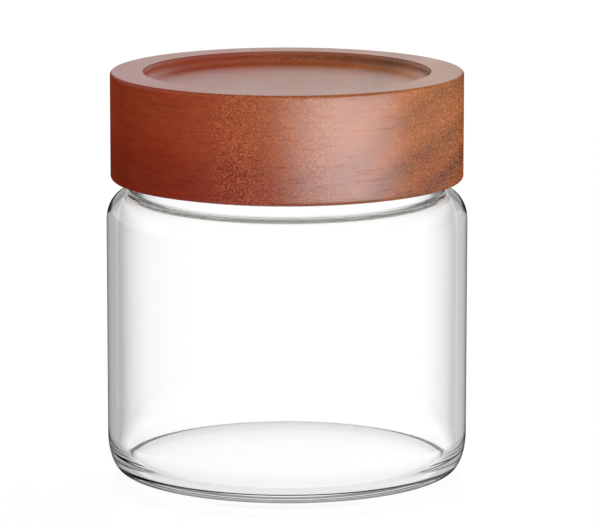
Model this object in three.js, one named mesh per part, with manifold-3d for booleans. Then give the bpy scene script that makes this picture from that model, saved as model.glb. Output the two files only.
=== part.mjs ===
// A clear glass storage jar with a turned wood screw lid.
// Millimetres, +Z up. The origin is the middle of the base, on the surface that the jar stands on.
import * as THREE from "three";
import { mergeVertices } from "three/addons/utils/BufferGeometryUtils.js";
import Module from "manifold-3d";

// Jar body
const BODY_DIAMETER = 100;
const BODY_WALL = 2.4;
const SHOULDER_HEIGHT = 77.5;
const SHOULDER_RISE = 7.5;
const HEEL_RUN = 4;
const HEEL_RISE = 10;
const INNER_HEEL_RUN = 4.6;
const FLOOR_THICKNESS = 2.6;
const STANDING_RING_WIDTH = 7;
const BASE_HOLLOW = 0.1;

// Inside of the shoulder: a nearly level run from the throat out to the wall, rounded at both ends
const THROAT_DROP = 1.6;
const THROAT_ROUND = 0.4;
const SLOPE_DROP = 0.2;
const INNER_SHOULDER_ROUND = 6;

// Jar neck
const NECK_WALL = 2.2;
const NECK_FILLET = 1.3;
const BORE_TAPER = 2;
const BEAD_ROUND = 0.8;
const BEAD_TO_LID_BORE = 1.4;
const BEAD_TO_CAP = 0.8;
const RIM_FLAT = 0.4;

// Screw thread, with the same lead on the jar and in the lid
const THREAD_LEAD = 10;
const THREAD_STARTS = 2;
const THREAD_HEIGHT = 1.1;
const THREAD_ROOT_WIDTH = 2.2;
const THREAD_CREST_WIDTH = 1;
const THREAD_RADIAL_CLEARANCE = 0.4;
const THREAD_FLANK_CLEARANCE = 0.35;
const THREAD_END_MARGIN = 0.7;
const THREAD_END_HEIGHT = 0.35;
const THREAD_RUN_OUT_STEPS = 5;
const THREAD_ROOT_DEPTH = 0.5;

// Wood lid
const LID_SETBACK = 1.2;
const LID_ABOVE_SHOULDER = 4;
const LID_HEIGHT = 29.7;
const LID_SKIRT = 4.2;
const LID_CROWN = 10;
const LID_RIM_WIDTH = 9;
const LID_TOP_EDGE = 0.8;
const LID_BOTTOM_EDGE = 1;
const DISH_DEPTH = 3;
const DISH_COVE_RUN = 4.6;

// Inner cap and seal
const CAP_WALL = 1.3;
const CAP_DECK = 1.6;
const CAP_RECESS = 1.6;
const CAP_EDGE = 0.5;
const CAP_LIP_WIDTH = 1.2;
const CAP_LIP_DROP = 1.4;
const SEAL_THICKNESS = 2.2;
const SEAL_OVERHANG = 1;
const SEAL_EDGE = 0.5;
const SEAL_SIDE_GAP = 0.2;
const SEAT_GAP = 0.1;
const GLUE_GAP = 0.25;

// Facets of the round surfaces
const ROUND_SEGMENTS = 64;
const CURVE_STEPS = 5;
const EDGE_STEPS = 2;

// Radii, from the outside in
const bodyRadius = BODY_DIAMETER / 2;
const innerRadius = bodyRadius - BODY_WALL;
const lidRadius = bodyRadius - LID_SETBACK;
const lidBore = lidRadius - LID_SKIRT;
const capRadius = lidBore - GLUE_GAP;
const capBore = capRadius - CAP_WALL;
const neckRadius = capBore - THREAD_RADIAL_CLEARANCE - THREAD_HEIGHT;
const mouthRadius = neckRadius - NECK_WALL;
const beadRadius = lidBore - BEAD_TO_LID_BORE;
const beadBore = beadRadius - BODY_WALL;
const sealRadius = capBore - SEAL_SIDE_GAP;
const sealBore = mouthRadius - SEAL_OVERHANG;
const capLipRadius = sealBore - SEAL_SIDE_GAP;

// Heights in the lid, above its lower edge
const dishFloor = LID_HEIGHT - DISH_DEPTH;
const lidCeiling = dishFloor - LID_CROWN;
const capTop = lidCeiling - GLUE_GAP;
const deckUnderside = capTop - CAP_DECK;
const sealTop = deckUnderside - SEAT_GAP;
const sealBottom = sealTop - SEAL_THICKNESS;

// Heights of the jar, above its base
const lidBottom = SHOULDER_HEIGHT + LID_ABOVE_SHOULDER;
const rimTop = lidBottom + sealBottom - SEAT_GAP;
const beadTop = lidBottom + CAP_RECESS - BEAD_TO_CAP;

// The thread's ridges turn in whole facets of the round surfaces.
const facetAngle = (2 * Math.PI) / ROUND_SEGMENTS;
const facetRise = THREAD_LEAD / ROUND_SEGMENTS;
const ridgeReach = THREAD_END_MARGIN + THREAD_ROOT_WIDTH / 2;
const ridgeSlope = (THREAD_ROOT_WIDTH - THREAD_CREST_WIDTH) / 2 / THREAD_HEIGHT;
const jarHelixBase = beadTop + ridgeReach;
const meshedWidth = THREAD_ROOT_WIDTH - ridgeSlope * (capBore - neckRadius);
const capHelixBase = jarHelixBase - meshedWidth - THREAD_FLANK_CLEARANCE - lidBottom;

const wasm = await Module();
wasm.setup();

// One point of a turned profile: radius, then height.
const at = (radius, height) => new THREE.Vector2(radius, height);

// A quarter ellipse from start to end, where corner is the point at which the two end tangents meet.
function quarter(start, corner, end, steps) {
  const toCorner = corner.clone().sub(start);
  const toEnd = end.clone().sub(corner);
  return Array.from({ length: steps + 1 }, (_, i) => {
    const angle = ((i / steps) * Math.PI) / 2;
    return start
      .clone()
      .addScaledVector(toCorner, Math.sin(angle))
      .addScaledVector(toEnd, 1 - Math.cos(angle));
  });
}

// Turns a profile about the Z axis; LatheGeometry itself turns about Y.
const turned = (profile) =>
  new THREE.LatheGeometry(profile, ROUND_SEGMENTS).rotateX(Math.PI / 2);

function toSolid(geometry) {
  const bare = geometry.clone();
  bare.deleteAttribute("normal");
  bare.deleteAttribute("uv");
  const merged = mergeVertices(bare);
  const vertProperties = new Float32Array(merged.attributes.position.array);
  const triVerts = new Uint32Array(merged.index.array);
  return new wasm.Manifold(new wasm.Mesh({ numProp: 3, vertProperties, triVerts }));
}

function toGeometry(solid) {
  const { vertProperties, triVerts } = solid.getMesh();
  const geometry = new THREE.BufferGeometry();
  geometry.setAttribute("position", new THREE.BufferAttribute(vertProperties, 3));
  geometry.setIndex(new THREE.BufferAttribute(triVerts, 1));
  geometry.computeVertexNormals();
  return geometry;
}

// One thread ridge, bent from a straight bar of trapezoid section on to the helix.
// Outward is 1 for a ridge that stands out from a wall and -1 for one inside a bore.
function threadRidge(wallRadius, outward, helixBase, firstFacet, facets, turnOffset) {
  const rootHalf = THREAD_ROOT_WIDTH / 2 + ridgeSlope * THREAD_ROOT_DEPTH;
  const crestHalf = THREAD_CREST_WIDTH / 2;
  const section = new THREE.Shape([
    at(-THREAD_ROOT_DEPTH, -rootHalf),
    at(THREAD_HEIGHT, -crestHalf),
    at(THREAD_HEIGHT, crestHalf),
    at(-THREAD_ROOT_DEPTH, rootHalf),
  ]);
  const bar = new THREE.ExtrudeGeometry(section, { depth: facets, steps: facets, bevelEnabled: false });
  const position = bar.attributes.position;
  for (let i = 0; i < position.count; i += 1) {
    const along = outward > 0 ? facets - position.getZ(i) : position.getZ(i);
    const fromEnd = Math.min(along, facets - along);
    const fullness = Math.min(1, THREAD_END_HEIGHT + fromEnd / THREAD_RUN_OUT_STEPS);
    const depth = position.getX(i);
    const radius = wallRadius + outward * (depth > 0 ? depth * fullness : depth);
    const angle = (firstFacet + along) * facetAngle + turnOffset;
    const height = helixBase + (firstFacet + along) * facetRise + position.getY(i);
    position.setXYZ(i, radius * Math.cos(angle), radius * Math.sin(angle), height);
  }
  return toSolid(bar);
}

// Adds the ridges of every start to a turned wall, between two heights of the ridges' middle line.
function withThread(wall, wallRadius, outward, helixBase, lowest, highest) {
  const firstFacet = Math.ceil((lowest - helixBase) / facetRise);
  const lastFacet = Math.floor((highest - helixBase) / facetRise);
  let solid = toSolid(wall);
  for (let start = 0; start < THREAD_STARTS; start += 1) {
    const turnOffset = (start / THREAD_STARTS) * 2 * Math.PI;
    const facets = lastFacet - firstFacet;
    solid = solid.add(threadRidge(wallRadius, outward, helixBase, firstFacet, facets, turnOffset));
  }
  return toGeometry(solid);
}

// The glass jar: an even wall from a hollow base up a soft heel and shoulder to a beaded, threaded neck
function glassJar() {
  const standingRadius = bodyRadius - HEEL_RUN;
  const hollowRadius = standingRadius - STANDING_RING_WIDTH;
  const shoulderStart = SHOULDER_HEIGHT - SHOULDER_RISE;
  const shoulderTopRadius = beadRadius + NECK_FILLET;
  const throatCorner = at(beadBore, SHOULDER_HEIGHT - THROAT_DROP);
  const innerShoulderCorner = at(innerRadius, throatCorner.y - SLOPE_DROP);
  const slopeMiddle = throatCorner.clone().lerp(innerShoulderCorner, 0.5);
  const filletTop = SHOULDER_HEIGHT + NECK_FILLET;
  const beadSide = beadTop - BEAD_ROUND;
  const rimRound = (NECK_WALL - RIM_FLAT) / 2;
  const rimSide = rimTop - rimRound;
  const hollow = Array.from({ length: CURVE_STEPS + 1 }, (_, i) => {
    const share = i / CURVE_STEPS;
    return at(hollowRadius * share, BASE_HOLLOW * (1 - share * share));
  });

  const outside = [
    ...hollow,
    ...quarter(at(standingRadius, 0), at(bodyRadius, 0), at(bodyRadius, HEEL_RISE), CURVE_STEPS),
    ...quarter(
      at(bodyRadius, shoulderStart),
      at(bodyRadius, SHOULDER_HEIGHT),
      at(shoulderTopRadius, SHOULDER_HEIGHT),
      CURVE_STEPS,
    ),
    ...quarter(
      at(shoulderTopRadius, SHOULDER_HEIGHT),
      at(beadRadius, SHOULDER_HEIGHT),
      at(beadRadius, filletTop),
      EDGE_STEPS,
    ).slice(1),
    ...quarter(at(beadRadius, beadSide), at(beadRadius, beadTop), at(neckRadius, beadTop), EDGE_STEPS),
  ];
  const rim = [
    ...quarter(
      at(neckRadius, rimSide),
      at(neckRadius, rimTop),
      at(neckRadius - rimRound, rimTop),
      EDGE_STEPS,
    ),
    ...quarter(
      at(mouthRadius + rimRound, rimTop),
      at(mouthRadius, rimTop),
      at(mouthRadius, rimSide),
      EDGE_STEPS,
    ),
  ];
  const inside = [
    at(mouthRadius, beadTop),
    at(beadBore, beadTop - BORE_TAPER),
    ...quarter(at(beadBore, throatCorner.y + THROAT_ROUND), throatCorner, slopeMiddle, CURVE_STEPS),
    ...quarter(
      slopeMiddle,
      innerShoulderCorner,
      at(innerRadius, innerShoulderCorner.y - INNER_SHOULDER_ROUND),
      CURVE_STEPS,
    ).slice(1),
    ...quarter(
      at(innerRadius, HEEL_RISE),
      at(innerRadius, FLOOR_THICKNESS),
      at(innerRadius - INNER_HEEL_RUN, FLOOR_THICKNESS),
      CURVE_STEPS,
    ),
    at(0, FLOOR_THICKNESS),
  ];
  const wall = turned([...outside, ...rim, ...inside]);
  return withThread(wall, neckRadius, 1, jarHelixBase, jarHelixBase, rimSide - ridgeReach);
}

// The wood lid: a turned block with a dish in its top and a plain bore from below
function woodLid() {
  const dishRadius = lidRadius - LID_RIM_WIDTH;
  return turned([
    at(0, lidCeiling),
    at(lidBore, lidCeiling),
    ...quarter(
      at(lidBore, LID_BOTTOM_EDGE),
      at(lidBore, 0),
      at(lidBore + LID_BOTTOM_EDGE, 0),
      EDGE_STEPS,
    ),
    ...quarter(
      at(lidRadius - LID_BOTTOM_EDGE, 0),
      at(lidRadius, 0),
      at(lidRadius, LID_BOTTOM_EDGE),
      EDGE_STEPS,
    ),
    ...quarter(
      at(lidRadius, LID_HEIGHT - LID_TOP_EDGE),
      at(lidRadius, LID_HEIGHT),
      at(lidRadius - LID_TOP_EDGE, LID_HEIGHT),
      EDGE_STEPS,
    ),
    ...quarter(
      at(dishRadius, LID_HEIGHT),
      at(dishRadius, dishFloor),
      at(dishRadius - DISH_COVE_RUN, dishFloor),
      CURVE_STEPS,
    ),
    at(0, dishFloor),
  ]);
}

// The inner cap: a deck that closes the jar, a threaded skirt, and a lip that holds the seal in place
function innerCap() {
  const lipBore = capLipRadius - CAP_LIP_WIDTH;
  const lipBottom = deckUnderside - CAP_LIP_DROP;
  const wall = turned([
    at(0, deckUnderside),
    at(lipBore, deckUnderside),
    at(lipBore, lipBottom),
    at(capLipRadius, lipBottom),
    at(capLipRadius, deckUnderside),
    at(capBore, deckUnderside),
    at(capBore, CAP_RECESS + CAP_EDGE),
    at(capBore + CAP_EDGE, CAP_RECESS),
    at(capRadius, CAP_RECESS),
    at(capRadius, capTop - CAP_EDGE),
    at(capRadius - CAP_EDGE, capTop),
    at(0, capTop),
  ]);
  const lowest = CAP_RECESS + ridgeReach;
  return withThread(wall, capBore, -1, capHelixBase, lowest, sealBottom - ridgeReach);
}

// The seal: a flat ring with rounded edges, centred over the jar's rim
function sealRing() {
  const innerFlat = sealBore + SEAL_EDGE;
  const outerFlat = sealRadius - SEAL_EDGE;
  const lowSide = sealBottom + SEAL_EDGE;
  const highSide = sealTop - SEAL_EDGE;
  return turned([
    ...quarter(at(sealBore, lowSide), at(sealBore, sealBottom), at(innerFlat, sealBottom), EDGE_STEPS),
    ...quarter(at(outerFlat, sealBottom), at(sealRadius, sealBottom), at(sealRadius, lowSide), EDGE_STEPS),
    ...quarter(at(sealRadius, highSide), at(sealRadius, sealTop), at(outerFlat, sealTop), EDGE_STEPS),
    ...quarter(at(innerFlat, sealTop), at(sealBore, sealTop), at(sealBore, highSide), EDGE_STEPS),
    at(sealBore, lowSide),
  ]);
}

const clearGlass = new THREE.MeshStandardMaterial({
  color: "#eef3f2",
  roughness: 0.03,
  metalness: 0,
  transparent: true,
  opacity: 0.3,
});
const lacqueredWood = new THREE.MeshStandardMaterial({ color: "#8a4526", roughness: 0.4, metalness: 0 });
const mouldedPlastic = new THREE.MeshStandardMaterial({ color: "#ece9e0", roughness: 0.5, metalness: 0 });
const silicone = new THREE.MeshStandardMaterial({ color: "#f1f1ec", roughness: 0.65, metalness: 0 });

function named(name, geometry, material) {
  const mesh = new THREE.Mesh(geometry, material);
  mesh.name = name;
  return mesh;
}

const lid = new THREE.Group();
lid.add(named("wood_lid", woodLid(), lacqueredWood));
lid.add(named("inner_cap", innerCap(), mouldedPlastic));
lid.add(named("seal_ring", sealRing(), silicone));
lid.position.z = lidBottom;

const jar = new THREE.Group();
jar.add(named("glass_jar", glassJar(), clearGlass));
jar.add(lid);

export default jar;
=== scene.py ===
"""Looks of a clear glass storage jar that is closed by a turned wood screw lid.

Sizes of the pieces are in millimetres, and become metres as each mesh is made.
"""

import logging
import math
from dataclasses import dataclass
from enum import Enum

import bpy
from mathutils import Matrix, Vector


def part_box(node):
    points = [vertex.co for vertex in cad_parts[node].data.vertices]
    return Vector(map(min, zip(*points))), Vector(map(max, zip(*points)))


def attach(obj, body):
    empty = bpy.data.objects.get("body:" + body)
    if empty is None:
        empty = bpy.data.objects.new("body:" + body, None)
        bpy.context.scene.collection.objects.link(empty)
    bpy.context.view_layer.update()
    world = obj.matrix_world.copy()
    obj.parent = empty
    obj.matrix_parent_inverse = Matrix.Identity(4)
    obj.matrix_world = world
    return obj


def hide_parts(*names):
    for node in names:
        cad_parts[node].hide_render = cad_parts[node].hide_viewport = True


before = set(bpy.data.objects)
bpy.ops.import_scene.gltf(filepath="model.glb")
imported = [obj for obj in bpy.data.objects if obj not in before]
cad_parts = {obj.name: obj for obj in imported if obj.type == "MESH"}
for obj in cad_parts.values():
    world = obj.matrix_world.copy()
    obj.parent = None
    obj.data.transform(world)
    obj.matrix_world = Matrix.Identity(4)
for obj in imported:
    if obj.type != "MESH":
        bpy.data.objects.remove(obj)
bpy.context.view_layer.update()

LOG = logging.getLogger("storage_jar")
MM = 0.001
TURN_SEGMENTS = 288
BEND_STEPS = 14
WIDE_BEND_STEPS = 24
LINE_SPACING = 4.0
END_STEP = 0.2
MERGE_DISTANCE = 1e-6
MIDDLE_NOISE = (0.3, 0.7)
WIDE_NOISE = (0.2, 0.8)

Point = tuple[float, float]
Size = tuple[float, float, float]
Colour = tuple[float, float, float, float]
Socket = bpy.types.NodeSocket
Tree = bpy.types.NodeTree
Source = Socket | float | tuple[float, ...]
Inputs = dict[str | int, Source]


class Body(Enum):
    """The bodies of the frame that the pieces ride on."""

    JAR = "jar"
    SEAL = "seal"
    LID = "lid"


class Slot(Enum):
    """The record's material slots."""

    GLASS = "clear_glass"
    WOOD = "lacquered_wood"
    PLASTIC = "moulded_plastic"
    SILICONE = "silicone"


class ThreadSide(Enum):
    """Which way a thread's ridges stand from their wall."""

    OUTWARD = 1.0
    INWARD = -1.0


class Reach(Enum):
    """What a lamp lights: the surfaces' own colour, or only the gloss on them."""

    COLOUR = "colour"
    GLOSS = "gloss"


class Graph:
    """Adds nodes to one node tree and wires their sockets."""

    def __init__(self, tree: Tree) -> None:
        """Keeps the tree that the nodes go to."""
        self.tree = tree

    def feed(self, socket: Socket, source: Source) -> None:
        """Links a source to a socket, or sets the socket to a plain value.

        Args:
            socket: The input socket.
            source: An output socket, or a value.
        """
        if isinstance(source, Socket):
            self.tree.links.new(source, socket)
        else:
            socket.default_value = source

    def fill(self, node: bpy.types.Node, inputs: Inputs) -> None:
        """Feeds several of a node's input sockets.

        Args:
            node: The node.
            inputs: Sources by socket name or number.
        """
        for key, source in inputs.items():
            self.feed(node.inputs[key], source)

    def add(self, kind: str, inputs: Inputs | None = None, **settings: object) -> bpy.types.Node:
        """Adds one node.

        Args:
            kind: The node's type name.
            inputs: Sources by socket name or number.
            settings: Properties of the node.

        Returns:
            The new node.
        """
        node = self.tree.nodes.new(kind)
        for name, value in settings.items():
            setattr(node, name, value)
        self.fill(node, inputs or {})
        return node

    def math(self, operation: str, *terms: Source) -> Socket:
        """Adds a Math node, with its inputs in order, and gives its result."""
        return self.add("ShaderNodeMath", dict(enumerate(terms)), operation=operation).outputs[0]

    def remap(
        self, value: Source, low: Source, high: Source, to_low: float = 0.0, to_high: float = 1.0
    ) -> Socket:
        """Maps a value from one range to another with soft ends, and holds it inside the new range."""
        inputs = {"Value": value, "From Min": low, "From Max": high, "To Min": to_low, "To Max": to_high}
        return self.add("ShaderNodeMapRange", inputs, interpolation_type="SMOOTHSTEP").outputs["Result"]

    def ramp(self, factor: Source, stops: list[tuple[float, Colour]]) -> Socket:
        """Adds a Color Ramp.

        Args:
            factor: Where on the ramp to read, from 0 to 1.
            stops: Places and colours in order.

        Returns:
            The colour's socket.
        """
        node = self.add("ShaderNodeValToRGB", {"Fac": factor})
        elements = node.color_ramp.elements
        while len(elements) < len(stops):
            elements.new(1.0)
        for element, (place, colour) in zip(elements, stops):
            element.position = place
            element.color = colour
        return node.outputs["Color"]

    def mix(self, factor: Source, first: Source, second: Source) -> Socket:
        """Mixes two colours, where the factor is the second one's share."""
        return self.add("ShaderNodeMix", {0: factor, 6: first, 7: second}, data_type="RGBA").outputs[2]

    def axes(self, vector: Source) -> tuple[Socket, ...]:
        """Splits a vector into X, Y and Z."""
        return tuple(self.add("ShaderNodeSeparateXYZ", {0: vector}).outputs)

    def bump(self, height: Source, depth: float) -> Socket:
        """Adds a Bump node for a relief from 0 to 1, with its depth in millimetres."""
        return self.add("ShaderNodeBump", {"Height": height, "Distance": depth * MM}).outputs["Normal"]

    def vary(self, level: Source, pattern: Source, share: Source) -> Socket:
        """Adds a share of a pattern that runs from 0 to 1, about its middle."""
        return self.math("MULTIPLY_ADD", self.math("SUBTRACT", pattern, 0.5), share, level)

    def hypot(self, first: Source, second: Source) -> Socket:
        """Adds the long side of a right-angled triangle."""
        squares = self.math("ADD", self.math("POWER", first, 2.0), self.math("POWER", second, 2.0))
        return self.math("SQRT", squares)

    def times(self, vector: Source, factor: Source) -> Socket:
        """Multiplies a vector or a colour by a number."""
        return self.add("ShaderNodeVectorMath", {0: vector, "Scale": factor}, operation="SCALE").outputs[0]

    def noise(self, place: Source, size: Size, detail: float, roughness: float = 0.5) -> Socket:
        """Adds a Noise Texture.

        Args:
            place: Coordinates in millimetres.
            size: The pattern's size along X, Y and Z.
            detail: Number of finer layers.
            roughness: Weight of the finer layers.

        Returns:
            The value's socket, from 0 to 1.
        """
        factors = tuple(1.0 / length for length in size)
        scaled = self.add("ShaderNodeVectorMath", {0: place, 1: factors}, operation="MULTIPLY").outputs[0]
        inputs = {"Vector": scaled, "Scale": 1.0, "Detail": detail, "Roughness": roughness}
        return self.add("ShaderNodeTexNoise", inputs).outputs[0]


def blank_graph(owner: bpy.types.Material | bpy.types.World) -> Graph:
    """Empties the node tree of a material or a world.

    Args:
        owner: The material or the world.

    Returns:
        The tree's graph.
    """
    owner.use_nodes = True
    owner.node_tree.nodes.clear()
    return Graph(owner.node_tree)


def material_graph(name: str) -> tuple[bpy.types.Material, Graph, bpy.types.Node]:
    """Makes a material with a Principled shader.

    Args:
        name: The material's name.

    Returns:
        The material, its graph and the shader node.
    """
    material = bpy.data.materials.new(name)
    graph = blank_graph(material)
    shader = graph.add("ShaderNodeBsdfPrincipled")
    graph.add("ShaderNodeOutputMaterial", {"Surface": shader.outputs["BSDF"]})
    return material, graph, shader


def millimetre_place(graph: Graph, turn: float = 0.0) -> Socket:
    """Adds Object coordinates in millimetres.

    Args:
        graph: The material's graph.
        turn: Turn of the pattern about the jar's axis, in radians.

    Returns:
        The coordinates' socket.
    """
    place = graph.add("ShaderNodeTexCoord").outputs["Object"]
    inputs = {"Vector": place, "Rotation": (0.0, 0.0, turn), "Scale": (1.0 / MM,) * 3}
    return graph.add("ShaderNodeMapping", inputs).outputs[0]


@dataclass(frozen=True)
class ClearGlass:
    """Clear container glass, fire-polished, with the faint waves of a pressed and blown wall."""

    refraction: float = 1.5
    tint: Colour = (0.985, 0.99, 0.988, 1.0)
    wave_size: Size = (16.0, 16.0, 45.0)
    wave_depth: float = 0.012
    smear_size: Size = (9.0, 9.0, 9.0)
    smear_range: Point = (0.5, 0.8)
    smear_roughness: Point = (0.0, 0.02)

    def material(self) -> bpy.types.Material:
        """Builds the glass.

        Returns:
            The material.
        """
        material, graph, shader = material_graph("clear_glass")
        place = millimetre_place(graph)
        waves = graph.noise(place, self.wave_size, detail=1.0)
        smears = graph.noise(place, self.smear_size, detail=3.0)
        inputs = {
            "Base Color": self.tint,
            "Transmission Weight": 1.0,
            "IOR": self.refraction,
            "Roughness": graph.remap(smears, *self.smear_range, *self.smear_roughness),
            "Normal": graph.bump(waves, self.wave_depth),
        }
        graph.fill(shader, inputs)
        return material


@dataclass(frozen=True)
class LacqueredWood:
    """Reddish-brown hardwood under a satin lacquer; the fibres run from front to back.

    The wood is redder on one side and at the foot of the lid, and the growth rings show on the pale side.
    The foot, and the dish's cove on the pale side, are also darkened with painted shade.
    Lengths are in millimetres, and each reach runs across the fibres, from the red side to the pale one.
    Each gloss level is given for the flat faces and then for the upright ones, which are rubbed down and
    so gleam much the same at a glance as face on.
    """

    fibre_turn: float = math.radians(4.0)
    heart_red: Colour = (0.300, 0.023, 0.001, 1.0)
    heart_brown: Colour = (0.312, 0.067, 0.013, 1.0)
    pale_tan: Colour = (0.355, 0.116, 0.026, 1.0)
    pale_reach: Point = (-44.0, 40.0)
    pale_levels: Point = (0.05, 0.90)
    streak_size: Size = (2.2, 60.0, 2.2)
    streak_share: float = 0.5
    cloud_size: Size = (26.0, 80.0, 26.0)
    cloud_share: float = 0.4
    foot_heights: Point = (83.0, 104.0)
    foot_redness: float = 0.25
    painted_foot_light: float = 0.76
    ring_centre: Point = (78.0, 30.0)
    ring_spacing: float = 5.0
    ring_reach: Point = (6.0, 34.0)
    ring_shares: Point = (0.02, 0.35)
    waver_size: Size = (14.0, 70.0, 14.0)
    waver_depth: float = 10.0
    side_radii: Point = (48.0, 48.5)
    cove_radii: Point = (36.8, 39.9)
    cove_fade: float = 0.5
    cove_reach: Point = (-25.0, 25.0)
    painted_cove_shade: float = 0.42
    end_facing: Point = (0.80, 0.995)
    fleck_tan: Colour = (0.300, 0.098, 0.034, 1.0)
    fleck_size: Size = (0.24, 5.0, 0.24)
    fleck_range: Point = (0.44, 0.66)
    fleck_levels: Point = (-0.25, 0.75)
    coarse_reach: Point = (22.0, 38.0)
    coarse_shares: Point = (0.08, 1.2)
    layer_size: Size = (9.0, 16.0, 0.7)
    layer_share: float = 0.55
    layer_relief: float = 0.7
    relief_depth: float = 0.02
    lacquer_roughness: Point = (0.26, 0.32)
    gloss_levels: tuple[tuple[str, Point], ...] = (
        ("Specular IOR Level", (0.5, 0.0)),
        ("Coat Weight", (0.3, 0.145)),
        ("Coat IOR", (1.5, 4.0)),
    )

    def cuts(self, graph: Graph, place: Socket) -> tuple[Socket, Socket, Socket]:
        """Finds how the turned surface is cut, from its distance to the lid's axis.

        Args:
            graph: The material's graph.
            place: Grain coordinates in millimetres.

        Returns:
            Three shares' sockets: 1 on upright cuts across the fibres, on all upright cuts, and in the cove.
        """
        across, along, _height = graph.axes(place)
        radius = graph.hypot(across, along)
        side = graph.remap(radius, *self.side_radii)
        cove_foot, cove_top = self.cove_radii
        fade_start = cove_top - self.cove_fade
        cove_rise = graph.remap(radius, cove_foot, fade_start)
        cove = graph.math("MULTIPLY", cove_rise, graph.remap(radius, fade_start, cove_top, 1.0, 0.0))
        upright = graph.math("MAXIMUM", side, cove)
        facing_ends = graph.math("DIVIDE", graph.math("ABSOLUTE", along), radius)
        ends = graph.math("POWER", graph.remap(facing_ends, *self.end_facing), 2.0)
        return graph.math("MULTIPLY", upright, ends), upright, cove

    def rings(self, graph: Graph, place: Socket) -> Socket:
        """Draws the growth rings about an axis beside the lid, which slant across its pale side.

        Args:
            graph: The material's graph.
            place: Grain coordinates in millimetres.

        Returns:
            The pattern's socket, from 0 to 1.
        """
        across, _along, height = graph.axes(place)
        waver = graph.noise(place, self.waver_size, detail=3.0)
        from_side = graph.math("SUBTRACT", across, self.ring_centre[0])
        from_below = graph.math("SUBTRACT", height, self.ring_centre[1])
        radius = graph.math("MULTIPLY_ADD", waver, self.waver_depth, graph.hypot(from_side, from_below))
        return graph.math("PINGPONG", graph.math("DIVIDE", radius, self.ring_spacing), 1.0)

    def tone(self, graph: Graph, place: Socket, foot: Socket) -> Socket:
        """Mixes the wood's broad colour: a paler side, streaks and a redder foot.

        Args:
            graph: The material's graph.
            place: Grain coordinates in millimetres.
            foot: 0 at the foot of the lid and 1 above it.

        Returns:
            The colour's socket.
        """
        across = graph.axes(place)[0]
        streaks = graph.noise(place, self.streak_size, detail=4.0, roughness=0.6)
        clouds = graph.noise(place, self.cloud_size, detail=1.0)
        tone = graph.remap(across, *self.pale_reach, *self.pale_levels)
        tone = graph.math("MULTIPLY_ADD", graph.math("SUBTRACT", foot, 1.0), self.foot_redness, tone)
        tone = graph.vary(tone, streaks, self.streak_share)
        tone = graph.vary(tone, clouds, self.cloud_share)
        return graph.ramp(tone, [(0.0, self.heart_red), (0.5, self.heart_brown), (1.0, self.pale_tan)])

    def material(self) -> bpy.types.Material:
        """Builds the wood.

        Returns:
            The material.
        """
        material, graph, shader = material_graph("lacquered_wood")
        place = millimetre_place(graph, self.fibre_turn)
        across, _along, height = graph.axes(place)
        foot = graph.remap(height, *self.foot_heights)
        end_grain, upright, cove = self.cuts(graph, place)
        specks = graph.noise(place, self.fleck_size, detail=1.0)
        layers = graph.noise(place, self.layer_size, detail=3.0, roughness=0.6)
        # Painted shade: the wood is made darker towards the foot of the lid.
        light = graph.remap(foot, 0.0, 1.0, self.painted_foot_light, 1.0)
        ring_share = graph.remap(across, *self.ring_reach, *self.ring_shares)
        light = graph.vary(light, self.rings(graph, place), ring_share)
        light = graph.vary(light, layers, self.layer_share)
        # Painted shade: the dish's cove is darkened, more so towards the pale side.
        shade = graph.math("MULTIPLY", cove, graph.remap(across, *self.cove_reach, 0.0, self.painted_cove_shade))
        light = graph.math("SUBTRACT", light, shade)
        ground = graph.times(self.tone(graph, place, foot), light)
        coarse = graph.remap(across, *self.coarse_reach, *self.coarse_shares)
        fleck_share = graph.math("MULTIPLY_ADD", upright, coarse, end_grain)
        flecks = graph.remap(specks, *self.fleck_range, *self.fleck_levels)
        speckle = graph.times(self.fleck_tan[:3], graph.math("MULTIPLY", flecks, fleck_share))
        colour = graph.add("ShaderNodeVectorMath", {0: ground, 1: speckle}, operation="ADD").outputs[0]
        roughness = graph.remap(layers, *WIDE_NOISE, *self.lacquer_roughness)
        relief = graph.math("MULTIPLY_ADD", layers, self.layer_relief, specks)
        normal = graph.bump(relief, self.relief_depth)
        graph.fill(shader, {"Base Color": colour, "Roughness": roughness, "Coat Roughness": roughness})
        graph.fill(shader, {"Normal": normal, "Coat Normal": normal})
        for name, levels in self.gloss_levels:
            graph.feed(shader.inputs[name], graph.remap(upright, 0.0, 1.0, *levels))
        return material


@dataclass(frozen=True)
class PaleFinish:
    """A pale moulded skin with soft clouds of shade and a fine grain. Its lengths are in millimetres."""

    name: str
    pale: Colour
    shade: Colour
    cloud_size: float
    grain_size: float
    grain_detail: float
    grain_depth: float
    roughness: Point
    translucence: float = 0.0
    light_depth: float = 1.5

    def material(self) -> bpy.types.Material:
        """Builds the skin.

        Returns:
            The material.
        """
        material, graph, shader = material_graph(self.name)
        place = millimetre_place(graph)
        clouds = graph.noise(place, (self.cloud_size,) * 3, detail=3.0)
        grain = graph.noise(place, (self.grain_size,) * 3, detail=self.grain_detail)
        inputs = {
            "Base Color": graph.mix(graph.remap(clouds, *MIDDLE_NOISE), self.shade, self.pale),
            "Roughness": graph.remap(grain, *WIDE_NOISE, *self.roughness),
            "Subsurface Weight": self.translucence,
            "Subsurface Scale": self.light_depth * MM,
            "Normal": graph.bump(grain, self.grain_depth),
        }
        graph.fill(shader, inputs)
        return material


PLASTIC = PaleFinish(
    name="moulded_plastic",
    pale=(0.83, 0.81, 0.755, 1.0),
    shade=(0.76, 0.735, 0.675, 1.0),
    cloud_size=12.0,
    grain_size=0.22,
    grain_detail=1.0,
    grain_depth=0.008,
    roughness=(0.40, 0.55),
)
SILICONE = PaleFinish(
    name="silicone",
    pale=(0.86, 0.86, 0.83, 1.0),
    shade=(0.79, 0.795, 0.77, 1.0),
    cloud_size=6.0,
    grain_size=0.35,
    grain_detail=2.0,
    grain_depth=0.012,
    roughness=(0.55, 0.75),
    translucence=0.2,
)


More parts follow.
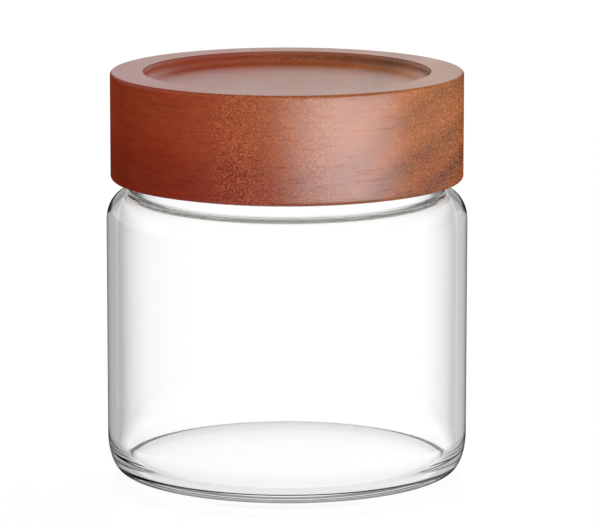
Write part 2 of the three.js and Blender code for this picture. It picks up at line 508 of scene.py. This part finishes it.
class Outline:
    """The half section of a turned piece, drawn as points of radius and height in millimetres.

    It runs up the outside and down the inside, so that the turned faces point outwards.
    """

    def __init__(self, radius: float, height: float) -> None:
        """Starts the section at one point."""
        self.points: list[Point] = [(radius, height)]

    def line(self, radius: float, height: float, spacing: float = LINE_SPACING) -> None:
        """Draws a straight run with a short step at each end, which keeps the shading flat between them.

        Args:
            radius: Radius of the run's end.
            height: Height of the run's end.
            spacing: Longest step between the two short ones.
        """
        first_radius, first_height = self.points[-1]
        length = math.hypot(radius - first_radius, height - first_height)
        short = min(END_STEP, length / 3.0)
        count = math.ceil((length - 2.0 * short) / spacing)
        shares = [(short + (length - 2.0 * short) * step / count) / length for step in range(count + 1)]
        for share in [*shares, 1.0]:
            step_radius = first_radius + (radius - first_radius) * share
            step_height = first_height + (height - first_height) * share
            self.points.append((step_radius, step_height))

    def bend(self, corner: Point, end: Point, steps: int = BEND_STEPS) -> None:
        """Draws a quarter ellipse from the last point.

        Args:
            corner: Where the tangents of the two ends meet.
            end: The last point of the bend.
            steps: Number of straight steps in it.
        """
        start = self.points[-1]
        for step in range(1, steps + 1):
            angle = step / steps * math.pi / 2.0
            to_corner = math.sin(angle)
            to_end = 1.0 - math.cos(angle)
            step_radius = start[0] + (corner[0] - start[0]) * to_corner + (end[0] - corner[0]) * to_end
            step_height = start[1] + (corner[1] - start[1]) * to_corner + (end[1] - corner[1]) * to_end
            self.points.append((step_radius, step_height))

    def dome(self, radius: float, height: float, steps: int = BEND_STEPS) -> None:
        """Draws a shallow hollow that is level at the axis, where the outline starts.

        Args:
            radius: Radius of the hollow's edge.
            height: Height of the hollow's edge.
            steps: Number of straight steps in it.
        """
        crown = self.points[-1][1]
        for step in range(1, steps + 1):
            share = step / steps
            self.points.append((radius * share, crown + (height - crown) * share * share))

    def wire(self, name: str) -> bpy.types.Object:
        """Makes the section a line of mesh edges in the XZ plane, in metres.

        Args:
            name: The object's name.

        Returns:
            The object, linked to the scene.
        """
        corners = [(radius * MM, 0.0, height * MM) for radius, height in self.points]
        edges = [(number, number + 1) for number in range(len(corners) - 1)]
        mesh = bpy.data.meshes.new(name)
        mesh.from_pydata(corners, edges, [])
        wire = bpy.data.objects.new(name, mesh)
        bpy.context.scene.collection.objects.link(wire)
        return wire


def geometry_graph(name: str, inputs: dict[str, str]) -> tuple[Graph, dict[str, Socket], Socket]:
    """Starts a Geometry Nodes tree that takes and gives a geometry.

    Args:
        name: The tree's name.
        inputs: Socket types by the name of each further input.

    Returns:
        The graph, the input sockets by name, and the socket that the result goes to.
    """
    tree = bpy.data.node_groups.new(name, "GeometryNodeTree")
    tree.interface.new_socket(name="Geometry", in_out="INPUT", socket_type="NodeSocketGeometry")
    for label, kind in inputs.items():
        tree.interface.new_socket(name=label, in_out="INPUT", socket_type=kind)
    tree.interface.new_socket(name="Geometry", in_out="OUTPUT", socket_type="NodeSocketGeometry")
    graph = Graph(tree)
    sockets = {socket.name: socket for socket in graph.add("NodeGroupInput").outputs if socket.name}
    return graph, sockets, graph.add("NodeGroupOutput").inputs[0]


def finish_geometry(graph: Graph, geometry: Socket, material: Socket, result: Socket) -> None:
    """Ends a tree with smooth shading, real geometry and a material.

    Args:
        graph: The tree's graph.
        geometry: The shape so far.
        material: The material to set.
        result: The socket that the result goes to.
    """
    smooth = graph.add("GeometryNodeSetShadeSmooth", {"Geometry": geometry}).outputs[0]
    real = graph.add("GeometryNodeRealizeInstances", {"Geometry": smooth}).outputs[0]
    dressed = graph.add("GeometryNodeSetMaterial", {"Geometry": real, "Material": material})
    graph.feed(result, dressed.outputs[0])


def turning_tree() -> Tree:
    """Builds the tree that turns a half section about the Z axis.

    Returns:
        The tree, with the material as an input.
    """
    graph, inputs, result = geometry_graph("turned_section", {"Material": "NodeSocketMaterial"})
    wire = inputs["Geometry"]
    points = graph.add("GeometryNodeAttributeDomainSize", {"Geometry": wire}).outputs["Point Count"]
    counts = {"Vertices X": TURN_SEGMENTS + 1, "Vertices Y": points}
    sheet = graph.add("GeometryNodeMeshGrid", counts).outputs["Mesh"]
    index = graph.add("GeometryNodeInputIndex").outputs[0]
    column = graph.math("FLOOR", graph.math("DIVIDE", graph.math("ADD", index, 0.5), points))
    row = graph.math("SUBTRACT", index, graph.math("MULTIPLY", column, points))
    position = graph.add("GeometryNodeInputPosition").outputs[0]
    sampling = {"Geometry": wire, "Value": position, "Index": row}
    sample = graph.add("GeometryNodeSampleIndex", sampling, data_type="FLOAT_VECTOR", domain="POINT")
    angle = graph.math("MULTIPLY", graph.math("DIVIDE", column, TURN_SEGMENTS), math.tau)
    rotation = {"Vector": sample.outputs[0], "Angle": angle}
    turned = graph.add("ShaderNodeVectorRotate", rotation, rotation_type="Z_AXIS").outputs[0]
    placed = graph.add("GeometryNodeSetPosition", {"Geometry": sheet, "Position": turned}).outputs[0]
    merging = {"Geometry": placed, "Distance": MERGE_DISTANCE}
    closed = graph.add("GeometryNodeMergeByDistance", merging).outputs[0]
    finish_geometry(graph, closed, inputs["Material"], result)
    return graph.tree


def thread_tree() -> Tree:
    """Builds the tree that raises a screw thread on a turned wall.

    Returns:
        The tree, with the thread's sizes and the material as inputs, in metres.
    """
    sizes = ("Wall Radius", "Lead", "Starts", "Height", "Root Width", "Crest Width", "Helix Base")
    ends = ("Lowest", "Highest", "Run-out", "Side")
    kinds = {label: "NodeSocketFloat" for label in (*sizes, *ends)}
    graph, inputs, result = geometry_graph("screw_thread", {**kinds, "Material": "NodeSocketMaterial"})
    place = graph.add("GeometryNodeInputPosition").outputs[0]
    x, y, z = graph.axes(place)
    level = graph.add("ShaderNodeCombineXYZ", {"X": x, "Y": y}).outputs[0]
    radius = graph.add("ShaderNodeVectorMath", {0: level}, operation="LENGTH").outputs["Value"]
    outward = graph.add("ShaderNodeVectorMath", {0: level}, operation="NORMALIZE").outputs[0]
    turns = graph.math("DIVIDE", graph.math("ARCTAN2", y, x), math.tau)
    climbs = graph.math("DIVIDE", graph.math("SUBTRACT", z, inputs["Helix Base"]), inputs["Lead"])
    starts_passed = graph.math("MULTIPLY", graph.math("SUBTRACT", climbs, turns), inputs["Starts"])
    nearest = graph.math("SUBTRACT", starts_passed, graph.math("ROUND", starts_passed))
    pitch = graph.math("DIVIDE", inputs["Lead"], inputs["Starts"])
    from_middle = graph.math("MULTIPLY", nearest, pitch)
    root = graph.math("DIVIDE", inputs["Root Width"], 2.0)
    crest = graph.math("DIVIDE", inputs["Crest Width"], 2.0)
    ridge = graph.remap(graph.math("ABSOLUTE", from_middle), crest, root, 1.0, 0.0)
    middle = graph.math("SUBTRACT", z, from_middle)
    run_in = graph.math("SUBTRACT", inputs["Lowest"], inputs["Run-out"])
    run_off = graph.math("ADD", inputs["Highest"], inputs["Run-out"])
    ridge = graph.math("MULTIPLY", ridge, graph.remap(middle, run_in, inputs["Lowest"]))
    ridge = graph.math("MULTIPLY", ridge, graph.remap(middle, inputs["Highest"], run_off, 1.0, 0.0))
    on_wall = graph.math("COMPARE", radius, inputs["Wall Radius"], MERGE_DISTANCE)
    rise = graph.math("MULTIPLY", graph.math("MULTIPLY", ridge, inputs["Height"]), inputs["Side"])
    rise = graph.math("MULTIPLY", rise, on_wall)
    moved = {"Geometry": inputs["Geometry"], "Offset": graph.times(outward, rise)}
    raised = graph.add("GeometryNodeSetPosition", moved)
    finish_geometry(graph, raised.outputs[0], inputs["Material"], result)
    return graph.tree


def run_tree(piece: bpy.types.Object, tree: Tree, values: dict[str, object]) -> None:
    """Runs a Geometry Nodes tree on a piece and keeps the result as its plain mesh.

    Args:
        piece: The object to change.
        tree: The tree to run.
        values: The tree's inputs by name.
    """
    modifier = piece.modifiers.new(tree.name, "NODES")
    modifier.node_group = tree
    for item in tree.interface.items_tree:
        if item.in_out == "INPUT" and item.name in values:
            modifier[item.identifier] = values[item.name]
    shaped = piece.evaluated_get(bpy.context.evaluated_depsgraph_get())
    mesh = bpy.data.meshes.new_from_object(shaped)
    piece.modifiers.remove(modifier)
    spent = piece.data
    piece.data = mesh
    mesh.name = piece.name
    bpy.data.meshes.remove(spent)


@dataclass(frozen=True)
class ScrewThread:
    """The two-start thread that the jar and the inner cap share, in millimetres."""

    lead: float = 10.0
    starts: float = 2.0
    height: float = 1.1
    root_width: float = 2.2
    crest_width: float = 1.0
    end_margin: float = 0.7
    flank_clearance: float = 0.35
    radial_clearance: float = 0.4
    run_out: float = 0.55
    row_spacing: float = 0.18

    @property
    def reach(self) -> float:
        """Room that a ridge keeps from the end of its wall to its middle line."""
        return self.end_margin + self.root_width / 2.0

    @property
    def meshed_step(self) -> float:
        """Height between the middle lines of a jar ridge and the cap ridge below it."""
        slope = (self.root_width - self.crest_width) / 2.0 / self.height
        return self.root_width - slope * (self.height + self.radial_clearance) + self.flank_clearance

    def values(self, wall: float, base: float, low: float, high: float, side: ThreadSide) -> dict[str, float]:
        """Gives the thread tree's inputs.

        Args:
            wall: Radius of the threaded wall.
            base: Height of a middle line at the +X side.
            low: Height where a middle line starts.
            high: Height where a middle line ends.
            side: Which way the ridges stand.

        Returns:
            The inputs by name, in metres.
        """
        return {
            "Wall Radius": wall * MM,
            "Lead": self.lead * MM,
            "Starts": self.starts,
            "Height": self.height * MM,
            "Root Width": self.root_width * MM,
            "Crest Width": self.crest_width * MM,
            "Helix Base": base * MM,
            "Lowest": (low + self.run_out) * MM,
            "Highest": (high - self.run_out) * MM,
            "Run-out": self.run_out * MM,
            "Side": side.value,
        }


def node_size(node: str) -> Size:
    """Reads a round node's radius, lowest height and highest height from the frame, in millimetres."""
    lowest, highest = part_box(node)
    return highest.x / MM, lowest.z / MM, highest.z / MM


def place_piece(piece: bpy.types.Object, node: str, body: Body) -> None:
    """Puts a finished piece in the frame in a node's stead.

    Args:
        piece: The finished object.
        node: The node that it stands for.
        body: The body that it rides on.
    """
    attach(piece, body.value)
    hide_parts(node)
    piece.data.calc_loop_triangles()
    LOG.info("%s rides on %s, %d triangles", piece.name, body.value, len(piece.data.loop_triangles))


@dataclass
class GlassJar:
    """The clear glass body: hollow base, soft heel and shoulder, neck bead, threaded neck and rim."""

    thread: ScrewThread
    finish: ClearGlass = ClearGlass()
    wall: float = 2.4
    shoulder_height: float = 77.5
    shoulder_rise: float = 7.5
    heel_run: float = 4.0
    heel_rise: float = 10.0
    inner_heel_run: float = 4.6
    floor_thickness: float = 2.6
    standing_ring: float = 7.0
    base_hollow: float = 0.1
    throat_drop: float = 1.6
    throat_round: float = 0.4
    slope_drop: float = 0.2
    inner_shoulder_round: float = 6.0
    neck_radius: float = 41.55
    neck_wall: float = 2.2
    neck_fillet: float = 1.3
    bore_taper: float = 2.0
    bead_radius: float = 43.2
    bead_top: float = 82.3
    bead_round: float = 0.8
    rim_flat: float = 0.4

    @property
    def rim_round(self) -> float:
        """Radius of the rim's two edges."""
        return (self.neck_wall - self.rim_flat) / 2.0

    @property
    def helix_base(self) -> float:
        """Height of a ridge's middle line at the +X side."""
        return self.bead_top + self.thread.reach

    def section(self) -> Outline:
        """Draws the jar's half section.

        Returns:
            The outline, from the middle of the base round to the middle of the inner floor.
        """
        body, _low, rim_top = node_size("glass_jar")
        inner = body - self.wall
        bead_bore = self.bead_radius - self.wall
        standing = body - self.heel_run
        floor = self.floor_thickness
        shoulder = self.shoulder_height
        shoulder_start = shoulder - self.shoulder_rise
        shoulder_top = self.bead_radius + self.neck_fillet
        throat = (bead_bore, shoulder - self.throat_drop)
        inner_shoulder = (inner, throat[1] - self.slope_drop)
        middle = ((throat[0] + inner_shoulder[0]) / 2.0, (throat[1] + inner_shoulder[1]) / 2.0)
        fillet_top = shoulder + self.neck_fillet
        mouth = self.neck_radius - self.neck_wall
        rim_side = rim_top - self.rim_round
        outline = Outline(0.0, self.base_hollow)
        outline.dome(standing - self.standing_ring, 0.0)
        outline.line(standing, 0.0)
        outline.bend((body, 0.0), (body, self.heel_rise), WIDE_BEND_STEPS)
        outline.line(body, shoulder_start)
        outline.bend((body, shoulder), (shoulder_top, shoulder), WIDE_BEND_STEPS)
        outline.bend((self.bead_radius, shoulder), (self.bead_radius, fillet_top))
        outline.line(self.bead_radius, self.bead_top - self.bead_round)
        outline.bend((self.bead_radius, self.bead_top), (self.neck_radius, self.bead_top))
        outline.line(self.neck_radius, rim_side, self.thread.row_spacing)
        outline.bend((self.neck_radius, rim_top), (self.neck_radius - self.rim_round, rim_top))
        outline.line(mouth + self.rim_round, rim_top)
        outline.bend((mouth, rim_top), (mouth, rim_side))
        outline.line(mouth, self.bead_top)
        outline.line(bead_bore, self.bead_top - self.bore_taper)
        outline.line(bead_bore, throat[1] + self.throat_round)
        outline.bend(throat, middle, WIDE_BEND_STEPS)
        outline.bend(inner_shoulder, (inner, inner_shoulder[1] - self.inner_shoulder_round), WIDE_BEND_STEPS)
        outline.line(inner, self.heel_rise)
        outline.bend((inner, floor), (inner - self.inner_heel_run, floor), WIDE_BEND_STEPS)
        outline.line(0.0, floor)
        return outline

    def build(self, turning: Tree, threading: Tree) -> None:
        """Turns the jar and raises its thread.

        Args:
            turning: The tree that turns a section.
            threading: The tree that raises a thread.
        """
        _radius, _low, rim_top = node_size("glass_jar")
        glass = self.finish.material()
        piece = self.section().wire("clear_jar")
        run_tree(piece, turning, {"Material": glass})
        low = self.helix_base
        high = rim_top - self.rim_round - self.thread.reach
        values = self.thread.values(self.neck_radius, low, low, high, ThreadSide.OUTWARD)
        run_tree(piece, threading, {**values, "Material": glass})
        piece.visible_shadow = False
        place_piece(piece, "glass_jar", Body.JAR)


@dataclass
class WoodLid:
    """The turned wood cap: a thick rim round a shallow dish, and a plain bore from below."""

    finish: LacqueredWood = LacqueredWood()
    skirt: float = 4.2
    crown: float = 10.0
    rim_width: float = 9.0
    top_edge: float = 0.8
    bottom_edge: float = 1.0
    dish_depth: float = 3.0
    dish_cove: float = 4.6

    def section(self) -> Outline:
        """Draws the lid's half section.

        Returns:
            The outline, from the middle of the bore's ceiling round to the middle of the dish.
        """
        radius, bottom, top = node_size("wood_lid")
        bore = radius - self.skirt
        dish = radius - self.rim_width
        dish_floor = top - self.dish_depth
        ceiling = dish_floor - self.crown
        edge = self.bottom_edge
        outline = Outline(0.0, ceiling)
        outline.line(bore, ceiling)
        outline.line(bore, bottom + edge)
        outline.bend((bore, bottom), (bore + edge, bottom))
        outline.line(radius - edge, bottom)
        outline.bend((radius, bottom), (radius, bottom + edge))
        outline.line(radius, top - self.top_edge)
        outline.bend((radius, top), (radius - self.top_edge, top))
        outline.line(dish, top)
        outline.bend((dish, dish_floor), (dish - self.dish_cove, dish_floor), WIDE_BEND_STEPS)
        outline.line(0.0, dish_floor)
        return outline

    def build(self, turning: Tree) -> None:
        """Turns the lid.

        Args:
            turning: The tree that turns a section.
        """
        piece = self.section().wire("turned_lid")
        run_tree(piece, turning, {"Material": self.finish.material()})
        place_piece(piece, "wood_lid", Body.LID)


@dataclass
class InnerCap:
    """The moulded cap in the wood: a deck, a threaded skirt, and a lip that holds the seal."""

    thread: ScrewThread
    finish: PaleFinish = PLASTIC
    wall: float = 1.3
    deck: float = 1.6
    edge: float = 0.5
    edge_steps: int = 5
    lip_radius: float = 38.15
    lip_width: float = 1.2
    lip_drop: float = 1.4

    def section(self) -> Outline:
        """Draws the cap's half section.

        Returns:
            The outline, from the middle of the deck's underside round to the middle of its top.
        """
        radius, bottom, top = node_size("inner_cap")
        bore = radius - self.wall
        under = top - self.deck
        lip_bore = self.lip_radius - self.lip_width
        lip_bottom = under - self.lip_drop
        edge = self.edge
        outline = Outline(0.0, under)
        outline.line(lip_bore, under)
        outline.line(lip_bore, lip_bottom)
        outline.line(self.lip_radius, lip_bottom)
        outline.line(self.lip_radius, under)
        outline.line(bore, under)
        outline.line(bore, bottom + edge, self.thread.row_spacing)
        outline.bend((bore, bottom), (bore + edge, bottom), self.edge_steps)
        outline.line(radius, bottom)
        outline.line(radius, top - edge)
        outline.bend((radius, top), (radius - edge, top), self.edge_steps)
        outline.line(0.0, top)
        return outline

    def build(self, jar: GlassJar, turning: Tree, threading: Tree) -> None:
        """Turns the cap and raises the thread in its bore.

        Args:
            jar: The jar whose thread this one runs on.
            turning: The tree that turns a section.
            threading: The tree that raises a thread.
        """
        radius, bottom, _top = node_size("inner_cap")
        seal_bottom = node_size("seal_ring")[1]
        plastic = self.finish.material()
        piece = self.section().wire("moulded_cap")
        run_tree(piece, turning, {"Material": plastic})
        base = jar.helix_base - self.thread.meshed_step
        low = bottom + self.thread.reach
        high = seal_bottom - self.thread.reach
        values = self.thread.values(radius - self.wall, base, low, high, ThreadSide.INWARD)
        run_tree(piece, threading, {**values, "Material": plastic})
        place_piece(piece, "inner_cap", Body.LID)


@dataclass
class SealRing:
    """The flat silicone ring between the inner cap and the glass rim."""

    finish: PaleFinish = SILICONE
    bore: float = 38.35
    edge: float = 0.5
    edge_steps: int = 8

    def section(self) -> Outline:
        """Draws the ring's closed section.

        Returns:
            The outline, once round the ring.
        """
        radius, bottom, top = node_size("seal_ring")
        edge = self.edge
        outline = Outline(self.bore, bottom + edge)
        outline.bend((self.bore, bottom), (self.bore + edge, bottom), self.edge_steps)
        outline.line(radius - edge, bottom)
        outline.bend((radius, bottom), (radius, bottom + edge), self.edge_steps)
        outline.line(radius, top - edge)
        outline.bend((radius, top), (radius - edge, top), self.edge_steps)
        outline.line(self.bore + edge, top)
        outline.bend((self.bore, top), (self.bore, top - edge), self.edge_steps)
        outline.line(self.bore, bottom + edge)
        return outline

    def build(self, turning: Tree) -> None:
        """Turns the ring.

        Args:
            turning: The tree that turns a section.
        """
        piece = self.section().wire("silicone_seal")
        run_tree(piece, turning, {"Material": self.finish.material()})
        place_piece(piece, "seal_ring", Body.SEAL)


@dataclass(frozen=True)
class Softbox:
    """One large soft lamp, aimed at the jar from a bearing in degrees: 0 is the front and 90 the right."""

    name: str
    reach: Reach
    bearing: float
    elevation: float
    watts: float
    distance: float = 1.1
    width: float = 0.70
    height: float = 0.70
    spread: float = 180.0

    def light(self, target: float) -> None:
        """Hangs the lamp.

        Args:
            target: Height of the point that the lamp faces, in metres.
        """
        lamp = bpy.data.lights.new(self.name, "AREA")
        lamp.shape = "RECTANGLE"
        lamp.size = self.width
        lamp.size_y = self.height
        lamp.energy = self.watts
        lamp.spread = math.radians(self.spread)
        holder = bpy.data.objects.new(self.name, lamp)
        bearing = math.radians(self.bearing)
        elevation = math.radians(self.elevation)
        level = self.distance * math.cos(elevation)
        height = target + self.distance * math.sin(elevation)
        holder.location = (level * math.sin(bearing), -level * math.cos(bearing), height)
        holder.rotation_euler = (math.pi / 2.0 - elevation, 0.0, bearing)
        lamp.cycles.use_multiple_importance_sampling = self.reach is Reach.COLOUR
        holder.visible_camera = False
        holder.visible_diffuse = self.reach is Reach.COLOUR
        holder.visible_glossy = self.reach is Reach.GLOSS
        holder.visible_transmission = False
        bpy.context.scene.collection.objects.link(holder)


def grey(level: float) -> Colour:
    """Gives a neutral colour of one level."""
    return (level, level, level, 1.0)


def greys(stops: tuple[Point, ...]) -> list[tuple[float, Colour]]:
    """Gives a ramp's places and neutral colours."""
    return [(place, grey(level)) for place, level in stops]


@dataclass
class Studio:
    """White surround, pale floor, soft lamps, a card for the broad highlight, and the camera.

    Lengths are in metres, but the lens and the sensor in millimetres. Stops pair a place on a ramp with
    a grey level. Slopes, and the feet and tops of what is graded, are heights of a unit direction.
    """

    target_height: float = 0.05685
    camera_distance: float = 1.172
    camera_elevation: float = math.radians(10.56)
    camera_lens: float = 253.1
    camera_sensor: float = 36.0
    camera_shift: float = 0.0217
    floor_size: float = 6.0
    floor_drop: float = 0.0002
    floor_level: float = 0.9
    floor_glow: float = 1.035
    floor_shadow: float = 0.06
    floor_sheen: float = 0.08
    fill_level: float = 0.42
    glass_quadrant: float = math.radians(45.0)
    glass_peak: float = 1.25
    glass_stops: tuple[Point, ...] = (
        (0.0, 0.92), (0.13, 0.89), (0.22, 0.70), (0.28, 0.54),
        (0.33, 0.42), (0.40, 0.44), (0.47, 0.75), (0.54, 0.92),
    )
    glass_inside: float = 0.58
    glass_bands: tuple[Point, ...] = ((0.20, 0.86), (0.243, 1.0), (0.63, 1.0), (0.70, 0.35))
    flag_foot: Point = (-0.55, -0.45)
    flag_top: Point = (0.02, 0.12)
    glass_bounces: int = 12
    all_bounces: int = 24
    mirror_stops: tuple[Point, ...] = (
        (0.0, 0.5), (0.13, 0.25), (0.20, 0.03), (0.39, 0.03), (0.43, 0.12), (0.455, 0.03),
        (0.545, 0.03), (0.58, 0.45), (0.66, 1.0), (0.80, 0.95), (1.0, 0.5),
    )
    mirror_foot: Point = (-0.8, -0.6)
    mirror_top: Point = (-0.03, 0.06)
    mirror_below: float = 0.6
    ceiling_slopes: Point = (0.3, 0.7)
    ceiling_levels: Point = (0.82, 0.28)
    key: Softbox = Softbox("key_softbox", Reach.COLOUR, bearing=15.0, elevation=12.0, watts=6.6)
    rear: Softbox = Softbox("rear_softbox", Reach.COLOUR, bearing=195.0, elevation=12.0, watts=6.0)
    top: Softbox = Softbox("top_softbox", Reach.COLOUR, bearing=150.0, elevation=62.0, watts=4.2)
    card: Softbox = Softbox(
        "highlight_card",
        Reach.GLOSS,
        bearing=38.0,
        elevation=-2.5,
        watts=0.60,
        distance=0.45,
        width=0.95,
        height=0.07,
        spread=92.0,
    )

    def surround(self) -> None:
        """Builds the world: white to the camera, graded to glass and gloss, and an even fill for the rest."""
        world = bpy.data.worlds.new("white_surround")
        bpy.context.scene.world = world
        graph = blank_graph(world)
        ray = graph.add("ShaderNodeTexCoord").outputs["Generated"]
        path = graph.add("ShaderNodeLightPath").outputs
        level = graph.mix(path["Is Glossy Ray"], grey(self.fill_level), self.mirrored(graph, ray))
        seen_through = self.through_glass(graph, ray, path["Glossy Depth"])
        level = graph.mix(path["Is Transmission Ray"], level, seen_through)
        level = graph.mix(path["Is Camera Ray"], level, grey(1.0))
        background = graph.add("ShaderNodeBackground", {"Color": level, "Strength": 1.0})
        graph.add("ShaderNodeOutputWorld", {"Surface": background.outputs[0]})

    def through_glass(self, graph: Graph, ray: Socket, reflections: Socket) -> Socket:
        """Grades what glass shows: white behind it, grey flags every quarter turn, grey in its thickness.

        Args:
            graph: The world's graph.
            ray: The direction that is looked in.
            reflections: How often the light was reflected on its way, as in the thickness of a wall.

        Returns:
            The colour's socket.
        """
        x, y, z = graph.axes(ray)
        bearing = graph.math("ARCTAN2", x, y)
        folded = graph.math("PINGPONG", bearing, self.glass_quadrant)
        folded = graph.math("DIVIDE", folded, self.glass_quadrant)
        flags = graph.times(graph.ramp(folded, greys(self.glass_stops)), self.glass_peak)
        flags = graph.mix(graph.math("MINIMUM", reflections, 1.0), flags, grey(self.glass_inside))
        slope = graph.math("MULTIPLY_ADD", z, 0.5, 0.5)
        plain = graph.ramp(slope, greys(self.glass_bands))
        above_foot = graph.remap(z, *self.flag_foot)
        below_top = graph.remap(z, *self.flag_top, 1.0, 0.0)
        return graph.mix(graph.math("MULTIPLY", above_foot, below_top), plain, flags)

    def mirrored(self, graph: Graph, ray: Socket) -> Socket:
        """Grades what gloss shows: a dark left and back, a bright right and a dim ceiling.

        Args:
            graph: The world's graph.
            ray: The direction that is looked in.

        Returns:
            The colour's socket.
        """
        x, y, z = graph.axes(ray)
        spread = graph.math("MULTIPLY_ADD", graph.math("ARCTAN2", x, y), 1.0 / math.tau, 0.5)
        level = graph.ramp(spread, greys(self.mirror_stops))
        level = graph.mix(graph.remap(z, *self.mirror_foot), grey(self.mirror_below), level)
        ceiling = graph.remap(z, *self.ceiling_slopes, *self.ceiling_levels)
        return graph.mix(graph.remap(z, *self.mirror_top), level, ceiling)

    def floor(self) -> None:
        """Lays a pale floor that keeps a soft shadow and a faint reflection."""
        half = self.floor_size / 2.0
        corners = [(-half, -half, 0.0), (half, -half, 0.0), (half, half, 0.0), (-half, half, 0.0)]
        mesh = bpy.data.meshes.new("pale_floor")
        mesh.from_pydata(corners, [], [(0, 1, 2, 3)])
        floor = bpy.data.objects.new("pale_floor", mesh)
        bpy.context.scene.collection.objects.link(floor)
        material = bpy.data.materials.new("pale_floor")
        graph = blank_graph(material)
        paper = graph.add("ShaderNodeBsdfDiffuse", {"Color": grey(self.floor_level)}).outputs[0]
        glow = graph.add("ShaderNodeEmission", {"Color": grey(1.0), "Strength": self.floor_glow}).outputs[0]
        gloss = graph.add("ShaderNodeBsdfGlossy", {"Color": grey(1.0), "Roughness": 0.0}).outputs[0]
        lit = graph.add("ShaderNodeMixShader", {0: self.floor_shadow, 1: glow, 2: paper}).outputs[0]
        shown = graph.add("ShaderNodeMixShader", {0: self.floor_sheen, 1: lit, 2: gloss}).outputs[0]
        seen = graph.add("ShaderNodeLightPath").outputs["Is Camera Ray"]
        surface = graph.add("ShaderNodeMixShader", {0: seen, 1: paper, 2: shown}).outputs[0]
        graph.add("ShaderNodeOutputMaterial", {"Surface": surface})
        mesh.materials.append(material)
        floor.location.z = -self.floor_drop
        floor.visible_shadow = False
        floor.visible_glossy = False
        floor.visible_transmission = False

    def camera(self) -> None:
        """Places the camera at the photograph's viewing angle."""
        lens = bpy.data.cameras.new("camera")
        lens.sensor_width = self.camera_sensor
        lens.lens = self.camera_lens
        lens.shift_x = self.camera_shift
        camera = bpy.data.objects.new("camera", lens)
        camera.location = (
            0.0,
            -self.camera_distance * math.cos(self.camera_elevation),
            self.target_height + self.camera_distance * math.sin(self.camera_elevation),
        )
        camera.rotation_euler = (math.pi / 2.0 - self.camera_elevation, 0.0, 0.0)
        bpy.context.scene.collection.objects.link(camera)
        bpy.context.scene.camera = camera

    def build(self) -> None:
        """Sets up the surround, floor, lamps, camera and plain colour handling."""
        self.surround()
        self.floor()
        for lamp in (self.key, self.rear, self.top, self.card):
            lamp.light(self.target_height)
        self.camera()
        bpy.context.scene.view_settings.view_transform = "Standard"
        bpy.context.scene.cycles.max_bounces = self.all_bounces
        bpy.context.scene.cycles.glossy_bounces = self.glass_bounces
        bpy.context.scene.cycles.transmission_bounces = self.glass_bounces


def main() -> None:
    """Builds the pieces and the studio, and reports each one."""
    logging.basicConfig(level=logging.INFO, format="%(message)s")
    turning = turning_tree()
    threading = thread_tree()
    thread = ScrewThread()
    jar = GlassJar(thread)
    jar.build(turning, threading)
    WoodLid().build(turning)
    InnerCap(thread).build(jar, turning, threading)
    SealRing().build(turning)
    Studio().build()


if __name__ == "__main__":
    main()
